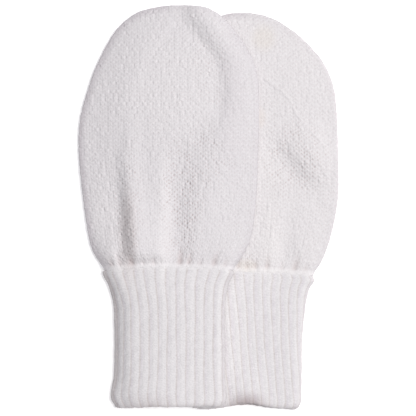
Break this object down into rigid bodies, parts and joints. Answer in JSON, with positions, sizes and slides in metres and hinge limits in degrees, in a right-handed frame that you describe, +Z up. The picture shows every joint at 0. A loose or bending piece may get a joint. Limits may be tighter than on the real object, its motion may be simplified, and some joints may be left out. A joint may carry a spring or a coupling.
{
  "type": "pair of baby mittens",
  "caption": "Pair of thumbless knitted baby mittens with ribbed cuffs, laid flat with one half over the other, closed ends together.",
  "frame": {"origin": "on the surface that the pair lies on, under the middle of the pair's box", "axes": "+Y along the mittens towards their closed ends, +X across the pair towards the lower mitten, +Z up through the cloth"},
  "size_m": [0.087, 0.1342, 0.0093],
  "materials": {
    "plain_knit": "matte white plain knit in fine yarn, wales along the mitten, slightly fuzzy",
    "rib_knit": "matte white rib in fine yarn, turned double, ribs about 3 mm apart"
  },
  "bodies": {
    "root": {"left_front": "plain_knit", "left_back": "plain_knit", "left_cuff": "rib_knit", "right_front": "plain_knit", "right_back": "plain_knit", "right_cuff": "rib_knit"}
  },
  "joints": []
}
